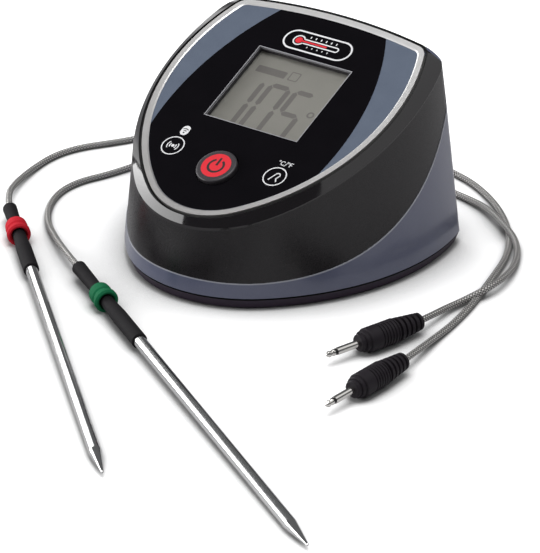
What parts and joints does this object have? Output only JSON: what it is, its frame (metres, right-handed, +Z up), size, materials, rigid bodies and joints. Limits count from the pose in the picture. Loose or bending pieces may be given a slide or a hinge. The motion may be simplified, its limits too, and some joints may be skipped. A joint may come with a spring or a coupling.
{
  "type": "meat thermometer",
  "caption": "Tabletop digital meat thermometer: wedge-shaped display unit with a tilted face, push button, and pointed steel probes on braided cables with plugs.",
  "frame": {"origin": "middle of the display unit's footprint, on the surface it stands on", "axes": "+Z up, the unit's pointed front towards -Y, its probe sockets facing +Y, +X to the right seen from the front"},
  "size_m": [0.2349, 0.2611, 0.0695],
  "materials": {
    "apron_black": "satin black moulding with a glossy bevel",
    "slate_shell": "satin slate blue-grey moulding",
    "base_black": "fine matt near-black moulding",
    "rim_silver": "satin silver paint",
    "slate_face": "satin slate blue-grey",
    "lens_black": "smooth black lens",
    "window_clear": "clear lens",
    "lcd_glass": "grey-green reflective display",
    "white_plastic": "white moulding",
    "inner_black": "black inner moulding",
    "strip_rubber": "layered contact strip",
    "board_green": "green solder mask",
    "chip_black": "black package",
    "can_metal": "tinned can",
    "screw_steel": "zinc-plated steel",
    "spring_steel": "nickel-plated steel",
    "socket_black": "black socket moulding",
    "cell_wrap": "plain dark wrap",
    "pad_rubber": "soft matt rubber",
    "button_grey": "soft dark grey cap",
    "probe_steel": "polished stainless steel",
    "sensor_glass": "glass bead",
    "sleeve_rubber": "matt black heat-resistant sleeve",
    "cable_braid": "braided stainless steel",
    "tie_black": "black hook-and-loop strap",
    "plug_rubber": "matt black moulded grip",
    "pin_chrome": "polished nickel plating",
    "insulator_black": "black ring",
    "red_silicone": "matt red silicone",
    "green_silicone": "matt green silicone"
  },
  "bodies": {
    "housing": {"front_apron": "apron_black", "rear_shell": "slate_shell", "base_tray": "base_black", "rim_ring": "rim_silver", "face_plate": "slate_face", "face_lens": "lens_black", "display_window": "window_clear", "display_glass": "lcd_glass", "display_backlight": "white_plastic", "display_holder": "inner_black", "contact_strip": "strip_rubber", "main_board": "board_green", "controller_chip": "chip_black", "radio_module": "can_metal", "buzzer": "chip_black", "board_screws": "screw_steel", "key_switch": "can_metal", "touch_springs": "spring_steel", "jack_socket_left": "socket_black", "jack_socket_right": "socket_black", "jack_board": "board_green", "battery_cell_front": "cell_wrap", "battery_cell_rear": "cell_wrap", "battery_contacts": "spring_steel", "battery_springs": "spring_steel", "base_screws": "screw_steel", "grip_pad": "pad_rubber", "rear_feet": "pad_rubber"},
    "button": {"main_button": "button_grey", "key_plunger": "white_plastic"},
    "door": {"battery_door": "base_black"},
    "red_probe_set": {"red_probe_shaft": "probe_steel", "red_probe_sensor": "sensor_glass", "red_probe_sleeve": "sleeve_rubber", "red_marker_ring": "red_silicone", "red_cable_probe_run": "cable_braid", "red_cable_plug_run": "cable_braid", "red_cable_coil": "cable_braid", "red_coil_tie": "tie_black", "red_plug_body": "plug_rubber", "red_plug_pin": "pin_chrome", "red_plug_insulator": "insulator_black", "red_plug_tip": "pin_chrome"},
    "green_probe_set": {"green_probe_shaft": "probe_steel", "green_probe_sensor": "sensor_glass", "green_probe_sleeve": "sleeve_rubber", "green_marker_ring": "green_silicone", "green_cable_probe_run": "cable_braid", "green_cable_plug_run": "cable_braid", "green_cable_coil": "cable_braid", "green_coil_tie": "tie_black", "green_plug_body": "plug_rubber", "green_plug_pin": "pin_chrome", "green_plug_insulator": "insulator_black", "green_plug_tip": "pin_chrome"}
  },
  "joints": [
    {"name": "button_press", "type": "slide", "parent": "housing", "child": "button", "axis": [0, 0.4043, -0.9146], "range_m": [0, 0.0009], "stiffness_N_per_m": 800},
    {"name": "battery_door_slide", "type": "slide", "parent": "housing", "child": "door", "axis": [0, 1, 0], "range_m": [0, 0.008]},
    {"name": "red_probe_lift", "type": "slide", "parent": "housing", "child": "red_probe_set", "axis": [0, 0, 1], "range_m": [0, 0.06]},
    {"name": "green_probe_lift", "type": "slide", "parent": "red_probe_set", "child": "green_probe_set", "axis": [0, 0, 1], "range_m": [0, 0.06]}
  ]
}
